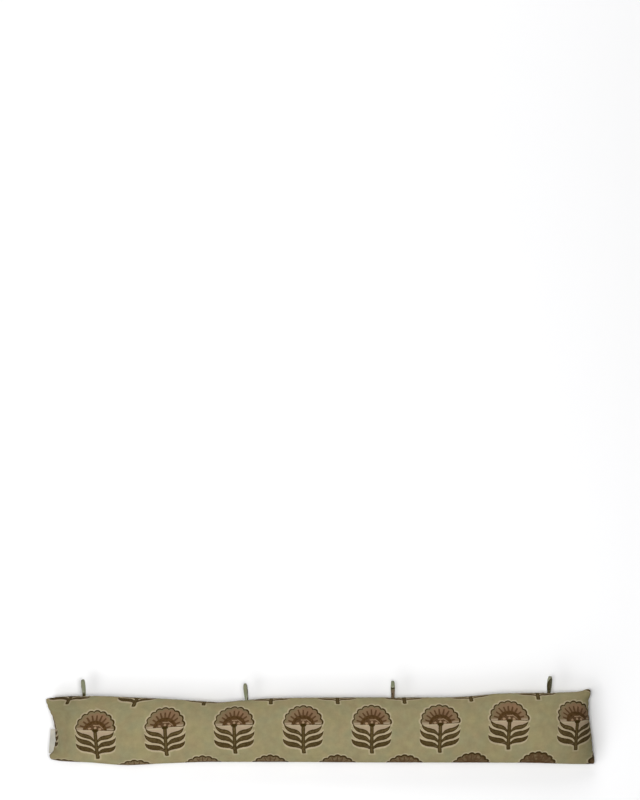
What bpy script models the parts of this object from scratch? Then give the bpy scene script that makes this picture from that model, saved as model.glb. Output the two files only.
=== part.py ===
"""A draught excluder: a long filled sausage of printed cotton with four hanging loops.

The cover is one piece of cloth folded along its length, with a long seam opposite the fold and a
seam at each end. Four loops of folded tape are caught in the long seam, and a small folded label
in one end seam. It lies on its back on a level surface.

Metres. +X runs along the length, +Y from the folded edge to the long seam, and +Z away from the
surface. The origin is on the flat underside, at the middle of the length.
"""

import bisect
import math
from collections import namedtuple

import bmesh
import bpy

# Filled cover
LENGTH = 0.900  # between the tips of the ears
SEAM_LIFT = 0.025  # height of the seam and the fold, along the middle
END_LIFT = 0.017  # height of the two end seams
END_RUN = 0.090  # stretch over which the seam drops to the end seams
CLOSING_RUN = 0.068  # stretch over which the filling thins out to an end seam
INSET_RUN = 0.060  # stretch that the drawn-in ends pull along
SEAM_WALL = 0.0026  # thickness of the pressed seam and of the fold's edge
UNDERSIDE_DROP = 0.0310  # depth that the underside would sag to with no surface under it
LANDING = 0.0045  # height over which the cloth rounds up from the surface

# Roundness: the power of the distance from the middle, then the power of what is left
TOP_ROUND = 2.2
SEAM_SIDE_ROUND = 0.68
FOLD_SIDE_ROUND = 0.5
UNDERSIDE_ROUND = 3.4
END_ROUND = 2.3
END_SIDE_ROUND = 0.60

# Grid of the cover
COLUMNS = 92
ROWS = 16
COLUMN_CROWDING = 0.6  # 0 spaces the columns evenly, 1 crowds them towards the ends
ROW_CROWDING = 0.85

# Where the seam and the fold lie from the middle line, and the height of the crown above them
Station = namedtuple("Station", "along seam fold crown")
STATIONS = (
    Station(-0.450, 0.0515, -0.0440, 0.0280),
    Station(-0.426, 0.0549, -0.0492, 0.0280),
    Station(-0.377, 0.0566, -0.0520, 0.0275),
    Station(-0.318, 0.0546, -0.0562, 0.0275),
    Station(-0.259, 0.0520, -0.0536, 0.0286),
    Station(-0.200, 0.0484, -0.0513, 0.0296),
    Station(-0.161, 0.0461, -0.0510, 0.0300),
    Station(-0.121, 0.0500, -0.0510, 0.0292),
    Station(-0.082, 0.0525, -0.0511, 0.0284),
    Station(-0.023, 0.0536, -0.0512, 0.0280),
    Station(0.075, 0.0541, -0.0518, 0.0282),
    Station(0.213, 0.0544, -0.0520, 0.0284),
    Station(0.252, 0.0566, -0.0521, 0.0280),
    Station(0.292, 0.0603, -0.0523, 0.0270),
    Station(0.351, 0.0615, -0.0526, 0.0265),
    Station(0.410, 0.0631, -0.0538, 0.0270),
    Station(0.438, 0.0660, -0.0538, 0.0275),
    Station(0.450, 0.0656, -0.0533, 0.0275),
)

# How far each end seam is drawn in, from the fold (-1) to the long seam (+1)
EndPoint = namedtuple("EndPoint", "across inset")
LEFT_END = (
    EndPoint(-1.00, 0.0066),
    EndPoint(-0.88, 0.0080),
    EndPoint(-0.74, 0.0122),
    EndPoint(-0.55, 0.0144),
    EndPoint(-0.25, 0.0159),
    EndPoint(0.05, 0.0150),
    EndPoint(0.35, 0.0115),
    EndPoint(0.62, 0.0058),
    EndPoint(0.82, 0.0018),
    EndPoint(1.00, 0.0000),
)
RIGHT_END = (
    EndPoint(-1.00, 0.0004),
    EndPoint(-0.86, 0.0000),
    EndPoint(-0.64, 0.0026),
    EndPoint(-0.20, 0.0053),
    EndPoint(0.10, 0.0076),
    EndPoint(0.36, 0.0098),
    EndPoint(0.69, 0.0099),
    EndPoint(0.85, 0.0080),
    EndPoint(1.00, 0.0056),
)

# Soft hollows and swellings of the upper side
SoftForm = namedtuple("SoftForm", "along across reach_along reach_across rise")
SOFT_FORMS = (
    SoftForm(-0.408, 0.55, 0.020, 0.40, -0.0022),
    SoftForm(-0.404, -0.50, 0.022, 0.45, -0.0018),
    SoftForm(-0.352, 0.05, 0.050, 0.60, 0.0014),
    SoftForm(-0.238, 0.30, 0.040, 0.50, -0.0012),
    SoftForm(-0.170, -0.10, 0.030, 0.60, 0.0006),
    SoftForm(-0.112, 0.70, 0.016, 0.35, -0.0018),
    SoftForm(-0.030, -0.20, 0.060, 0.60, 0.0010),
    SoftForm(0.112, 0.62, 0.024, 0.40, -0.0014),
    SoftForm(0.185, -0.15, 0.050, 0.50, 0.0012),
    SoftForm(0.265, 0.45, 0.034, 0.45, -0.0014),
    SoftForm(0.350, 0.00, 0.045, 0.60, 0.0012),
    SoftForm(0.404, 0.62, 0.018, 0.35, -0.0026),
    SoftForm(0.412, -0.62, 0.022, 0.40, -0.0016),
)

# Hanging loops
TAPE_WIDTH = 0.0066
TAPE_THICKNESS = 0.0015
TAPE_EDGE = 0.0003  # rounding of the tape's edges
LOOP_REACH = 0.0270  # from the seam to the outside of the bend
EYE_WIDTH = 0.0070  # clear width inside the bend
LEG_PARTING = 0.0004  # gap between the two legs at the seam
LEG_STEPS = 8
BEND_FACETS = 7  # odd, so that the crown of the bend is one flat facet
SLANT_RUN = 0.008  # stretch over which the cut at the seam straightens
SEWN_GAP = 0.0003  # between a sewn-in end and the seam that holds it
HangingLoop = namedtuple("HangingLoop", "name along lean sidestep")
HANGING_LOOPS = (
    HangingLoop("loop_1", -0.3864, math.radians(5.5), 0.0006),
    HangingLoop("loop_2", -0.1205, math.radians(6.0), -0.0014),
    HangingLoop("loop_3", 0.1198, math.radians(0.5), 0.0006),
    HangingLoop("loop_4", 0.3756, math.radians(-3.5), -0.0020),
)

# End label: a strip folded in half, its two layers a little apart
LABEL_LOW = -0.0395
LABEL_HIGH = 0.0018
LABEL_REACH = 0.0082  # from the end seam to the fold, at the high end
LABEL_SLANT = 0.085  # sideways run of the fold for each metre of its length
LABEL_LAYER = 0.0010
LABEL_PARTING = 0.0005
LABEL_COLUMNS = 10
LABEL_FACETS = 5
LABEL_STEPS = 4

# Colours of the bare pieces, as linear values
COTTON_KHAKI = (0.27, 0.23, 0.135, 1.0)
TAPE_OLIVE = (0.20, 0.18, 0.10, 1.0)
LABEL_CREAM = (0.66, 0.62, 0.54, 1.0)
CLOTH_ROUGHNESS = 0.92


def curve_through(rows, column):
    """A smooth curve through one column of a table, read at a place in its first column."""
    places = [row[0] for row in rows]
    values = [getattr(row, column) for row in rows]
    last = len(rows) - 1
    slopes = []
    for i in range(len(rows)):
        before = max(i - 1, 0)
        after = min(i + 1, last)
        slopes.append((values[after] - values[before]) / (places[after] - places[before]))

    def value_at(place):
        place = min(max(place, places[0]), places[last])
        i = min(max(bisect.bisect_right(places, place) - 1, 0), last - 1)
        step = places[i + 1] - places[i]
        t = (place - places[i]) / step
        from_left = values[i] * (1 + 2 * t) + slopes[i] * step * t
        from_right = values[i + 1] * (3 - 2 * t) - slopes[i + 1] * step * (1 - t)
        return from_left * (1 - t) ** 2 + from_right * t**2

    return value_at


seam_edge = curve_through(STATIONS, "seam")
fold_edge = curve_through(STATIONS, "fold")
crown_height = curve_through(STATIONS, "crown")
left_inset = curve_through(LEFT_END, "inset")
right_inset = curve_through(RIGHT_END, "inset")


def ease(t):
    t = min(max(t, 0.0), 1.0)
    return t * t * (3 - 2 * t)


def crowded(place, share):
    """Moves evenly spaced places in -1..1 closer together towards both ends."""
    return (1 - share) * place + share * math.sin(place * math.pi / 2)


def rounded(distance, power, side_power):
    """Falls from 1 in the middle to 0 at the edge, where the distance is 1."""
    return max(0.0, 1 - abs(distance) ** power) ** side_power


def plan_place(u, v):
    """Where the cover lies seen from above, from its place along (u) and across (v) the cloth."""
    from_end = (1 - abs(u)) * LENGTH / 2
    pull = max(0.0, 1 - from_end / INSET_RUN) ** 2
    inset = left_inset(v) if u < 0 else right_inset(v)
    x = u * LENGTH / 2 - math.copysign(inset * pull, u)
    middle = (seam_edge(x) + fold_edge(x)) / 2
    half = (seam_edge(x) - fold_edge(x)) / 2
    return x, middle + half * v


def seam_lift(u):
    from_end = (1 - abs(u)) * LENGTH / 2
    return END_LIFT + (SEAM_LIFT - END_LIFT) * ease(from_end / END_RUN)


def soft_rise(x, v):
    total = 0.0
    for form in SOFT_FORMS:
        along = (x - form.along) / form.reach_along
        across = (v - form.across) / form.reach_across
        total += form.rise * math.exp(-along * along - across * across)
    return total


def rested(height):
    """Lays what would sink below the surface flat on it, with a soft bend beside the flat."""
    if height <= -LANDING:
        return 0.0
    if height >= LANDING:
        return height
    return (height + LANDING) ** 2 / (4 * LANDING)


def cover_point(u, v, upper):
    """One point of the cover, on its upper side or its underside."""
    x, y = plan_place(u, v)
    from_end = (1 - abs(u)) * LENGTH / 2
    filling = rounded(max(0.0, 1 - from_end / CLOSING_RUN), END_ROUND, END_SIDE_ROUND)
    side_power = SEAM_SIDE_ROUND if v > 0 else FOLD_SIDE_ROUND
    if upper:
        thickness = filling * rounded(v, TOP_ROUND, side_power)
        z = seam_lift(u) + SEAM_WALL / 2 + thickness * (crown_height(x) + soft_rise(x, v))
    else:
        thickness = filling * rounded(v, UNDERSIDE_ROUND, side_power)
        z = rested(seam_lift(u) - SEAM_WALL / 2 - thickness * UNDERSIDE_DROP)
    return x, y, z


def new_part(name, mesh_data, material, place=(0.0, 0.0, 0.0)):
    part = bpy.data.objects.new(name, mesh_data)
    part.location = place
    part.parent = root
    part.data.materials.append(material)
    collection.objects.link(part)
    return part


def cloth_material(name, colour):
    material = bpy.data.materials.new(name)
    material.use_nodes = True
    shader = material.node_tree.nodes["Principled BSDF"]
    shader.inputs["Base Color"].default_value = colour
    shader.inputs["Roughness"].default_value = CLOTH_ROUGHNESS
    shader.inputs["Metallic"].default_value = 0.0
    return material


def runs_along(edge, axis):
    step = edge.verts[1].co - edge.verts[0].co
    return abs(step[axis]) > 0.5 * step.length


def make_cover(material):
    """The filled cover: a box divided into a grid, then drawn to the shape of the cloth."""
    box = bmesh.new()
    bmesh.ops.create_cube(box, size=2.0)
    for axis, parts in ((0, COLUMNS), (1, ROWS)):
        lines = [edge for edge in box.edges if runs_along(edge, axis)]
        bmesh.ops.subdivide_edges(box, edges=lines, cuts=parts - 1, use_grid_fill=True)
    for vert in box.verts:
        u = crowded(vert.co.x, COLUMN_CROWDING)
        v = crowded(vert.co.y, ROW_CROWDING)
        vert.co = cover_point(u, v, upper=vert.co.z > 0)
    mesh_data = bpy.data.meshes.new("cover_filled")
    box.to_mesh(mesh_data)
    box.free()
    mesh_data.shade_smooth()
    return new_part("cover_filled", mesh_data, material)


def strip_mesh(name, steps, columns, place_at):
    """An open strip whose points come from a place along it (0..1) and across it (-1..1)."""
    grid = bmesh.new()
    bmesh.ops.create_grid(grid, x_segments=columns, y_segments=steps, size=1.0)
    for vert in grid.verts:
        vert.co = place_at((vert.co.y + 1) / 2, vert.co.x)
    bmesh.ops.recalc_face_normals(grid, faces=grid.faces)
    mesh_data = bpy.data.meshes.new(name)
    grid.to_mesh(mesh_data)
    grid.free()
    return mesh_data


def give_thickness(part, thickness):
    solidify = part.modifiers.new("Thickness", "SOLIDIFY")
    solidify.thickness = thickness
    solidify.offset = 0.0
    solidify.use_even_offset = True
    bevel = part.modifiers.new("Soft edges", "BEVEL")
    bevel.width = TAPE_EDGE
    bevel.segments = 1
    bevel.limit_method = "ANGLE"
    bevel.angle_limit = math.radians(60)


def loop_path():
    """The tape's middle line from one leg's end round the bend to the other's, as (y, z)."""
    foot = (LEG_PARTING + TAPE_THICKNESS) / 2
    bend = (EYE_WIDTH + TAPE_THICKNESS) / 2
    # The bend's facets stand outside its true radius by this much at their corners.
    corner = bend / math.cos(math.pi / 2 / BEND_FACETS)
    centre = LOOP_REACH - TAPE_THICKNESS / 2 - bend
    leg = []
    for i in range(LEG_STEPS):
        t = i / LEG_STEPS
        leg.append((centre * t, foot + (bend - foot) * ease(t)))
    turn = []
    for i in range(BEND_FACETS + 1):
        angle = math.pi * i / BEND_FACETS
        turn.append((centre + corner * math.sin(angle), corner * math.cos(angle)))
    return leg + turn + [(y, -z) for y, z in reversed(leg)]


def make_loop(loop, material):
    """A hanging loop: a folded tape bent back on itself, its two ends at the seam."""
    path = loop_path()
    run = 0.01
    seam_slope = (seam_edge(loop.along + run) - seam_edge(loop.along - run)) / (2 * run)
    cut_slope = math.tan(math.atan(seam_slope) - loop.lean)

    def place_at(t, across):
        y, z = path[round(t * (len(path) - 1))]
        x = across * TAPE_WIDTH / 2 + loop.sidestep * math.cos(math.pi * t)
        slant = max(0.0, 1 - y / SLANT_RUN)
        return x, y + x * cut_slope * slant, z

    mesh_data = strip_mesh(loop.name, len(path) - 1, 1, place_at)
    lift = seam_lift(loop.along / (LENGTH / 2))
    foot = (loop.along, seam_edge(loop.along) + SEWN_GAP, lift)
    part = new_part(loop.name, mesh_data, material, foot)
    part.rotation_euler.z = loop.lean
    give_thickness(part, TAPE_THICKNESS)
    return part


def end_seam_at(y):
    """How far out the left end seam is at a height y across the cloth."""
    low, high = -1.0, 1.0
    for _ in range(40):
        middle = (low + high) / 2
        if plan_place(-1.0, middle)[1] < y:
            low = middle
        else:
            high = middle
    return plan_place(-1.0, low)[0]


def label_path():
    """The strip's middle line, as (share of the way out, reach past the bend's start, z)."""
    turn = (LABEL_PARTING + LABEL_LAYER) / 2
    layer = [(i / LABEL_STEPS, 0.0, turn) for i in range(LABEL_STEPS)]
    bend = []
    for i in range(LABEL_FACETS + 1):
        angle = math.pi * i / LABEL_FACETS
        bend.append((1.0, turn * math.sin(angle), turn * math.cos(angle)))
    return layer + bend + [(share, reach, -z) for share, reach, z in reversed(layer)]


def make_label(material):
    """The label: a strip folded in half lengthways, both its edges in the left end seam."""
    path = label_path()
    bend_reach = LABEL_LAYER + LABEL_PARTING / 2
    high_fold = end_seam_at(LABEL_HIGH) - LABEL_REACH

    def place_at(t, across):
        share, reach, z = path[round(t * (len(path) - 1))]
        y = LABEL_LOW + (LABEL_HIGH - LABEL_LOW) * (across + 1) / 2
        seam = end_seam_at(y) - SEWN_GAP
        bend_start = high_fold + bend_reach - LABEL_SLANT * (LABEL_HIGH - y)
        return seam + (bend_start - seam) * share - reach, y, z

    mesh_data = strip_mesh("end_label", len(path) - 1, LABEL_COLUMNS, place_at)
    part = new_part("end_label", mesh_data, material, (0.0, 0.0, END_LIFT))
    give_thickness(part, LABEL_LAYER)
    return part


for leftover in list(bpy.data.objects):
    bpy.data.objects.remove(leftover, do_unlink=True)

collection = bpy.data.collections.new("Draught excluder")
bpy.context.scene.collection.children.link(collection)
root = bpy.data.objects.new("Draught excluder", None)
collection.objects.link(root)

make_cover(cloth_material("Printed cotton", COTTON_KHAKI))
tape_material = cloth_material("Folded tape", TAPE_OLIVE)
for hanging_loop in HANGING_LOOPS:
    make_loop(hanging_loop, tape_material)
make_label(cloth_material("Cream tape", LABEL_CREAM))
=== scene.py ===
"""The looks of a printed cloth draught excluder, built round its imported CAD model.

A long filled sausage of block-printed cotton lies on its back on a pale floor. Four loops of
folded tape stand out of its long seam, and a small bare label stands out of one end seam.

Metres, in the frame of the CAD model: +X along the length, +Y from the fold to the long seam,
+Z away from the floor.
"""

import math
import random
from collections import namedtuple
from functools import partial, partialmethod, reduce

import bpy
import numpy as np
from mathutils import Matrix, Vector, noise


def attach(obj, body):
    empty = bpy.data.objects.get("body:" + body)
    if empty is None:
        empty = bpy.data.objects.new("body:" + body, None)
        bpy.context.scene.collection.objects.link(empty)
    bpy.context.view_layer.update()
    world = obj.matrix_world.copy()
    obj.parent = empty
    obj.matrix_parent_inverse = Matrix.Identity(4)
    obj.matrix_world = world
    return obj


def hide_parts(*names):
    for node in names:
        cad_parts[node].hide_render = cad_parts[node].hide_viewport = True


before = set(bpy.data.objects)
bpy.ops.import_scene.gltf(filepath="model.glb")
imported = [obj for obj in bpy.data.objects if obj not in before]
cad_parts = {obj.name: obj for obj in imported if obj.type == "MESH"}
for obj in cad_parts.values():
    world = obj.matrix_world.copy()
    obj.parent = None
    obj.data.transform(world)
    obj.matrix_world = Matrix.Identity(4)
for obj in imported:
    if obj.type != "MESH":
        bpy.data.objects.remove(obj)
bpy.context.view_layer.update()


# Studio
# The piece lies low in a tall frame, seen from straight above through a long lens. The floor is
# white paper, lit by a soft lamp overhead, by a window to the left and by pale walls all round.

METRES_PER_PIXEL = 0.900 / 549
PIXELS_TALL = 800
FLOOR_PIXEL_ROW = 730.5  # the row of the frame that the model's origin falls on
LENS = 300
SENSOR = 36
SEAM_LEVEL = 0.025  # height that the scale of the frame holds at

Lamp = namedtuple("Lamp", "name place aim size power")
LAMPS = (
    Lamp("Overhead", (0.00, 0.00, 2.40), (0.0, 0.0, 0.0), 0.80, 29.0),
    Lamp("Left ceiling", (-1.50, 0.00, 2.60), (0.0, 0.0, 0.0), 2.00, 20.0),
    Lamp("Window", (-2.12, -0.89, 1.93), (0.0, 0.0, 0.0), 1.00, 14.0),
    Lamp("Far wall", (0.00, 2.65, 1.41), (0.0, 0.0, 0.0), 2.00, 41.0),
    Lamp("Near wall", (-1.30, -2.40, 1.60), (0.0, 0.0, 0.0), 2.00, 52.0),
    Lamp("Right wall", (2.65, 0.00, 1.41), (0.0, 0.0, 0.0), 2.00, 11.0),
)
ROOM_STRENGTH = 0.02
PAPER_WHITE = (0.88, 0.88, 0.885, 1.0)
PAPER_REACH = 40
FARTHEST_SEEN = 100


def into_scene(name, data):
    """A new object of the scene."""
    made = bpy.data.objects.new(name, data)
    bpy.context.scene.collection.objects.link(made)
    return made


frame_tall = METRES_PER_PIXEL * PIXELS_TALL
camera_data = bpy.data.cameras.new("Camera")
camera_data.lens = LENS
camera_data.sensor_width = SENSOR
camera_data.clip_end = FARTHEST_SEEN
camera = into_scene("Camera", camera_data)
camera.location = (
    0.0,
    (FLOOR_PIXEL_ROW - PIXELS_TALL / 2) * METRES_PER_PIXEL,
    SEAM_LEVEL + frame_tall * LENS / SENSOR,
)
bpy.context.scene.camera = camera
bpy.context.scene.view_settings.view_transform = "Standard"

for lamp in LAMPS:
    lamp_data = bpy.data.lights.new(lamp.name, "AREA")
    lamp_data.shape = "SQUARE"
    lamp_data.size = lamp.size
    lamp_data.energy = lamp.power
    lamp_object = into_scene(lamp.name, lamp_data)
    lamp_object.location = lamp.place
    away = Vector(lamp.place) - Vector(lamp.aim)
    lamp_object.rotation_euler = away.to_track_quat("Z", "Y").to_euler()

room = bpy.data.worlds.new("Room")
room.use_nodes = True
room_light = room.node_tree.nodes["Background"].inputs
room_light["Color"].default_value = (1.0, 1.0, 1.0, 1.0)
room_light["Strength"].default_value = ROOM_STRENGTH
bpy.context.scene.world = room

paper = bpy.data.materials.new("Paper")
paper.use_nodes = True
paper_shader = paper.node_tree.nodes["Principled BSDF"]
paper_shader.inputs["Base Color"].default_value = PAPER_WHITE
paper_shader.inputs["Roughness"].default_value = 1.0
paper_shader.inputs["Specular IOR Level"].default_value = 0.0

floor_mesh = bpy.data.meshes.new("Floor")
paper_corners = ((-1, -1), (1, -1), (1, 1), (-1, 1))
paper_corners = [(x * PAPER_REACH, y * PAPER_REACH, 0) for x, y in paper_corners]
floor_mesh.from_pydata(paper_corners, [], [(0, 1, 2, 3)])
floor_mesh.materials.append(paper)
floor = into_scene("Floor", floor_mesh)


# Filled cover
# One piece of printed cotton, folded along its length, sewn along the long side opposite the fold
# and along both ends, turned and filled with soft fibre. The filling draws the end seams in and
# leaves their corners standing out as ears.

LENGTH = 0.900
SEAM_LIFT = 0.025
END_LIFT = 0.017
END_RUN = 0.090
CLOSING_RUN = 0.068
INSET_RUN = 0.060
SEAM_WALL = 0.0026
UNDERSIDE_DROP = 0.0310
LANDING = 0.0045

TOP_ROUND = 2.2
SEAM_SIDE_ROUND = 0.68
FOLD_SIDE_ROUND = 0.5
UNDERSIDE_ROUND = 3.4
END_ROUND = 2.3
END_SIDE_ROUND = 0.60

COLUMNS = 400  # even, so that one column lies at the middle
ROWS = 84
COLUMN_CROWDING = 0.6
ROW_CROWDING = 0.85

# Where the seam and the fold lie from the middle line, and the height of the crown above them
Station = namedtuple("Station", "along seam fold crown")
STATIONS = (
    Station(-0.450, 0.0520, -0.0456, 0.0280),
    Station(-0.426, 0.0549, -0.0497, 0.0280),
    Station(-0.377, 0.0566, -0.0520, 0.0275),
    Station(-0.318, 0.0546, -0.0562, 0.0275),
    Station(-0.259, 0.0520, -0.0536, 0.0286),
    Station(-0.200, 0.0484, -0.0513, 0.0296),
    Station(-0.161, 0.0461, -0.0510, 0.0300),
    Station(-0.121, 0.0500, -0.0510, 0.0292),
    Station(-0.082, 0.0525, -0.0511, 0.0284),
    Station(-0.023, 0.0536, -0.0512, 0.0280),
    Station(0.075, 0.0541, -0.0518, 0.0282),
    Station(0.213, 0.0544, -0.0520, 0.0284),
    Station(0.252, 0.0566, -0.0521, 0.0280),
    Station(0.292, 0.0603, -0.0523, 0.0270),
    Station(0.351, 0.0615, -0.0526, 0.0265),
    Station(0.405, 0.0624, -0.0545, 0.0270),
    Station(0.426, 0.0638, -0.0549, 0.0275),
    Station(0.438, 0.0672, -0.0549, 0.0275),
    Station(0.450, 0.0668, -0.0545, 0.0275),
)

# How far each end seam is drawn in, from the fold (-1) to the long seam (+1)
EndPoint = namedtuple("EndPoint", "across inset")
LEFT_END = (
    EndPoint(-1.00, 0.0050),
    EndPoint(-0.88, 0.0064),
    EndPoint(-0.74, 0.0116),
    EndPoint(-0.55, 0.0144),
    EndPoint(-0.25, 0.0159),
    EndPoint(0.05, 0.0150),
    EndPoint(0.35, 0.0115),
    EndPoint(0.62, 0.0058),
    EndPoint(0.82, 0.0018),
    EndPoint(1.00, 0.0000),
)
RIGHT_END = (
    EndPoint(-1.00, 0.0004),
    EndPoint(-0.86, 0.0000),
    EndPoint(-0.64, 0.0026),
    EndPoint(-0.20, 0.0053),
    EndPoint(0.10, 0.0076),
    EndPoint(0.36, 0.0098),
    EndPoint(0.69, 0.0094),
    EndPoint(0.85, 0.0068),
    EndPoint(1.00, 0.0050),
)

# How far the turned corners are rounded, by the end and the side they are at
EAR_ROUNDING = {(-1, 1): 0.0035, (-1, -1): 0.0065, (1, 1): 0.0060, (1, -1): 0.0022}
MIDDLING_HALF_WIDTH = 0.055

# Soft hollows and swellings of the upper side
SoftForm = namedtuple("SoftForm", "along across reach_along reach_across rise")
SOFT_FORMS = (
    SoftForm(-0.408, 0.55, 0.020, 0.40, -0.0022),
    SoftForm(-0.404, -0.50, 0.022, 0.45, -0.0018),
    SoftForm(-0.352, 0.05, 0.050, 0.60, 0.0014),
    SoftForm(-0.238, 0.30, 0.040, 0.50, -0.0012),
    SoftForm(-0.170, -0.10, 0.030, 0.60, 0.0006),
    SoftForm(-0.112, 0.70, 0.016, 0.35, -0.0018),
    SoftForm(-0.030, -0.20, 0.060, 0.60, 0.0010),
    SoftForm(0.112, 0.62, 0.024, 0.40, -0.0014),
    SoftForm(0.185, -0.15, 0.050, 0.50, 0.0012),
    SoftForm(0.265, 0.45, 0.034, 0.45, -0.0014),
    SoftForm(0.350, 0.00, 0.045, 0.60, 0.0012),
    SoftForm(0.404, 0.62, 0.018, 0.35, -0.0026),
    SoftForm(0.412, -0.62, 0.022, 0.40, -0.0016),
)


def curve_through(rows, column):
    """A smooth curve through one column of a table, read at places in its first column."""
    places = np.array([row[0] for row in rows])
    values = np.array([getattr(row, column) for row in rows])
    before = np.maximum(np.arange(len(rows)) - 1, 0)
    after = np.minimum(np.arange(len(rows)) + 1, len(rows) - 1)
    slopes = (values[after] - values[before]) / (places[after] - places[before])

    def value_at(place):
        place = np.clip(place, places[0], places[-1])
        i = np.clip(np.searchsorted(places, place, side="right") - 1, 0, len(rows) - 2)
        step = places[i + 1] - places[i]
        t = (place - places[i]) / step
        from_left = values[i] * (1 + 2 * t) + slopes[i] * step * t
        from_right = values[i + 1] * (3 - 2 * t) - slopes[i + 1] * step * (1 - t)
        return from_left * (1 - t) ** 2 + from_right * t**2

    return value_at


seam_edge = curve_through(STATIONS, "seam")
fold_edge = curve_through(STATIONS, "fold")
crown_height = curve_through(STATIONS, "crown")
left_inset = curve_through(LEFT_END, "inset")
right_inset = curve_through(RIGHT_END, "inset")


def ease(t):
    t = np.clip(t, 0.0, 1.0)
    return t * t * (3 - 2 * t)


def crowded(place, share):
    """Moves evenly spaced places in -1..1 closer together towards both ends."""
    return (1 - share) * place + share * np.sin(place * np.pi / 2)


def rounded(distance, power, side_power):
    """Falls from 1 in the middle to 0 at the edge, where the distance is 1."""
    return np.maximum(0.0, 1 - np.abs(distance) ** power) ** side_power


def ears_rounded(u, v):
    """Turns the four sharp corners of the cloth's plan into round ones."""
    for (end, side), radius in EAR_ROUNDING.items():
        from_end = (1 - u * end) * LENGTH / 2
        from_side = (1 - v * side) * MIDDLING_HALF_WIDTH
        a = np.clip(1 - from_end / radius, 0.0, 1.0)
        b = np.clip(1 - from_side / radius, 0.0, 1.0)
        u = u - end * (a - a * np.sqrt(1 - b * b / 2)) * radius * 2 / LENGTH
        v = v - side * (b - b * np.sqrt(1 - a * a / 2)) * radius / MIDDLING_HALF_WIDTH
    return u, v


def plan_place(u, v):
    """Where the cover lies seen from above, from its place along (u) and across (v) the cloth."""
    from_end = (1 - np.abs(u)) * LENGTH / 2
    pull = np.maximum(0.0, 1 - from_end / INSET_RUN) ** 2
    inset = np.where(u < 0, left_inset(v), right_inset(v))
    x = u * LENGTH / 2 - np.copysign(inset * pull, u)
    middle = (seam_edge(x) + fold_edge(x)) / 2
    half = (seam_edge(x) - fold_edge(x)) / 2
    return x, middle + half * v


def seam_lift(u):
    from_end = (1 - np.abs(u)) * LENGTH / 2
    return END_LIFT + (SEAM_LIFT - END_LIFT) * ease(from_end / END_RUN)


def soft_rise(x, v):
    total = np.zeros(np.broadcast(x, v).shape)
    for form in SOFT_FORMS:
        along = (x - form.along) / form.reach_along
        across = (v - form.across) / form.reach_across
        total += form.rise * np.exp(-along * along - across * across)
    return total


def rested(height):
    """Lays what would sink below the floor flat on it, with a soft bend beside the flat."""
    bend = (height + LANDING) ** 2 / (4 * LANDING)
    return np.where(height <= -LANDING, 0.0, np.where(height >= LANDING, height, bend))


def cover_points(u, v, upper):
    """The cover's upper side or underside, as one array of (x, y, z)."""
    x, y = plan_place(*ears_rounded(u, v))
    from_end = (1 - np.abs(u)) * LENGTH / 2
    filling = rounded(np.maximum(0.0, 1 - from_end / CLOSING_RUN), END_ROUND, END_SIDE_ROUND)
    side_power = np.where(v > 0, SEAM_SIDE_ROUND, FOLD_SIDE_ROUND)
    if upper:
        thickness = filling * rounded(v, TOP_ROUND, side_power)
        z = seam_lift(u) + SEAM_WALL / 2 + thickness * (crown_height(x) + soft_rise(x, v))
    else:
        thickness = filling * rounded(v, UNDERSIDE_ROUND, side_power)
        z = rested(seam_lift(u) - SEAM_WALL / 2 - thickness * UNDERSIDE_DROP)
    return np.stack([x, y, z], axis=-1)


def run_between(points, axis):
    """The length of cloth from the first row or column of points to each one."""
    steps = np.linalg.norm(np.diff(points, axis=axis), axis=-1)
    return np.concatenate([np.zeros_like(np.take(steps, [0], axis)), np.cumsum(steps, axis)], axis)


def unit(vectors):
    return vectors / np.maximum(np.linalg.norm(vectors, axis=-1, keepdims=True), 1e-12)


def facing(points):
    """The direction that each point of a grid faces."""
    return unit(np.cross(np.gradient(points, axis=0), np.gradient(points, axis=1)))


# Puckers, where the cloth is gathered into a seam
Pucker = namedtuple("Pucker", "place depth width length lean")
END_PUCKERS = Pucker(place=0.0105, depth=0.0011, width=0.0026, length=0.026, lean=0.30)
SEAM_PUCKERS = Pucker(place=0.0098, depth=0.00034, width=0.0019, length=0.010, lean=0.25)
LEFT_END_PUCKERED = (-0.05, 0.055)  # across, from where to where
RIGHT_END_PUCKERED = (-0.05, 0.065)
SEAM_PUCKERED = (-0.44, 0.44)  # along

# Beside each loop: how far from its middle, and how deep
LOOP_PUCKERS = ((-0.0052, 0.0008), (0.0048, 0.0009), (0.0125, 0.0004))
LOOP_PUCKER_WIDTH = 0.0022
LOOP_PUCKER_LENGTH = 0.020
LOOP_PUCKER_SPLAY = 20  # lean for each metre from the loop's middle

# Unevenness of the filling: the size of the lumps and how far they rise
FILLING_LUMPS = ((0.070, 0.00065), (0.028, 0.00028), (0.011, 0.00009))

# How far from a seam, the fold and the floor the cloth is free to rise
FREE_OF_SEAM = 0.004
FREE_OF_FOLD = 0.006
FREE_OF_FLOOR = 0.012

HangingLoop = namedtuple("HangingLoop", "name along lean sidestep width")
HANGING_LOOPS = (
    HangingLoop("loop_1", -0.3864, math.radians(5.5), 0.0002, 0.0066),
    HangingLoop("loop_2", -0.1201, math.radians(6.0), -0.0006, 0.0057),
    HangingLoop("loop_3", 0.1196, math.radians(0.5), 0.0002, 0.0062),
    HangingLoop("loop_4", 0.3752, math.radians(-4.5), -0.0009, 0.0063),
)


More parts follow.
